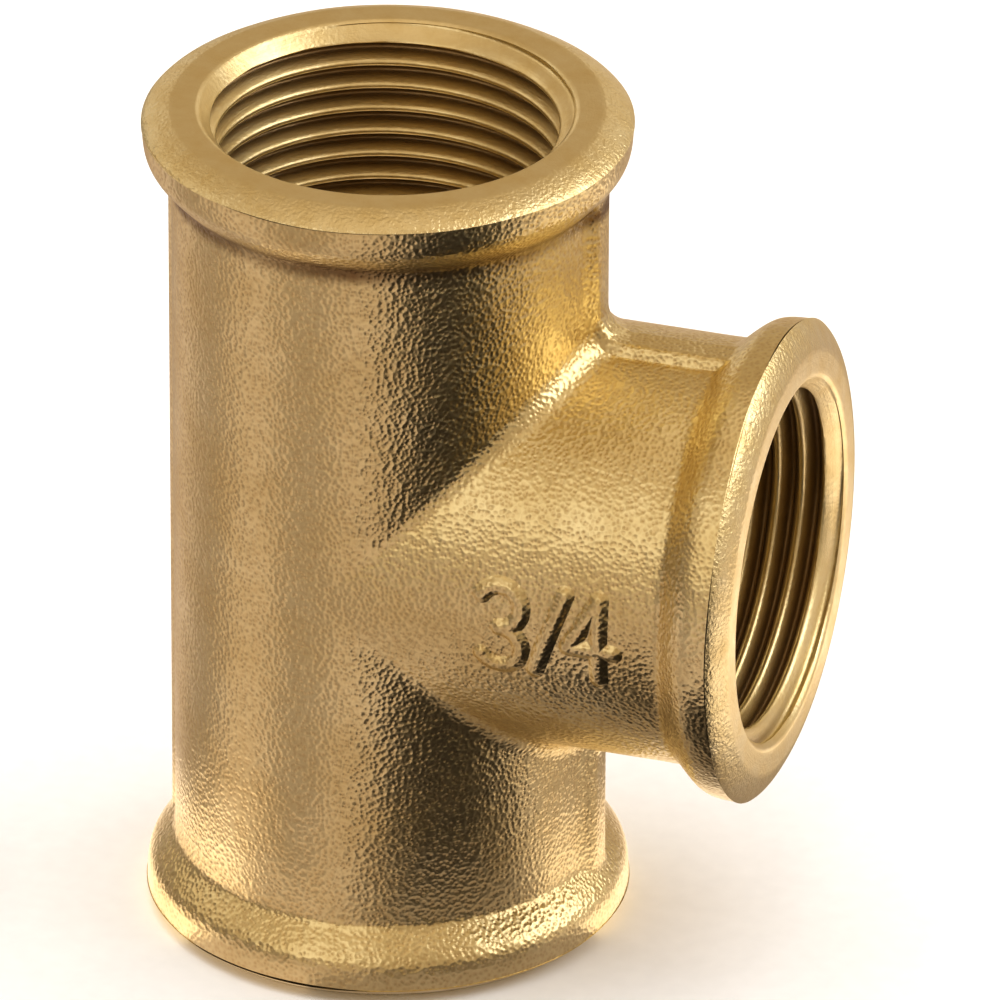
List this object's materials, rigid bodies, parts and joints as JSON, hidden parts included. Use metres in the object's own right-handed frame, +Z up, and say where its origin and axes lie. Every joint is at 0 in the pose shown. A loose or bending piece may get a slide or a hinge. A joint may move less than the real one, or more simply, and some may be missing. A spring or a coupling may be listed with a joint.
{
  "type": "tee fitting",
  "caption": "Brass equal tee for threaded pipe: a straight run with a branch at right angles, beaded rims and internally threaded sockets.",
  "frame": {"origin": "under the middle of the part's box, on the plane of the lower rim's end face; the run's and the branch's axes cross at x -6.325 mm, y 0, z 31.5 mm", "axes": "+Z up along the run, +X along the branch towards its mouth, +Y across both"},
  "size_m": [0.0474, 0.0346, 0.063],
  "materials": {
    "forged_brass": "blasted",
    "turned_brass": "satin"
  },
  "bodies": {
    "root": {"top_rim": "turned_brass", "top_barrel": "forged_brass", "centre_body": "forged_brass", "branch_rim": "turned_brass", "bottom_barrel": "forged_brass", "bottom_rim": "turned_brass"}
  },
  "joints": []
}
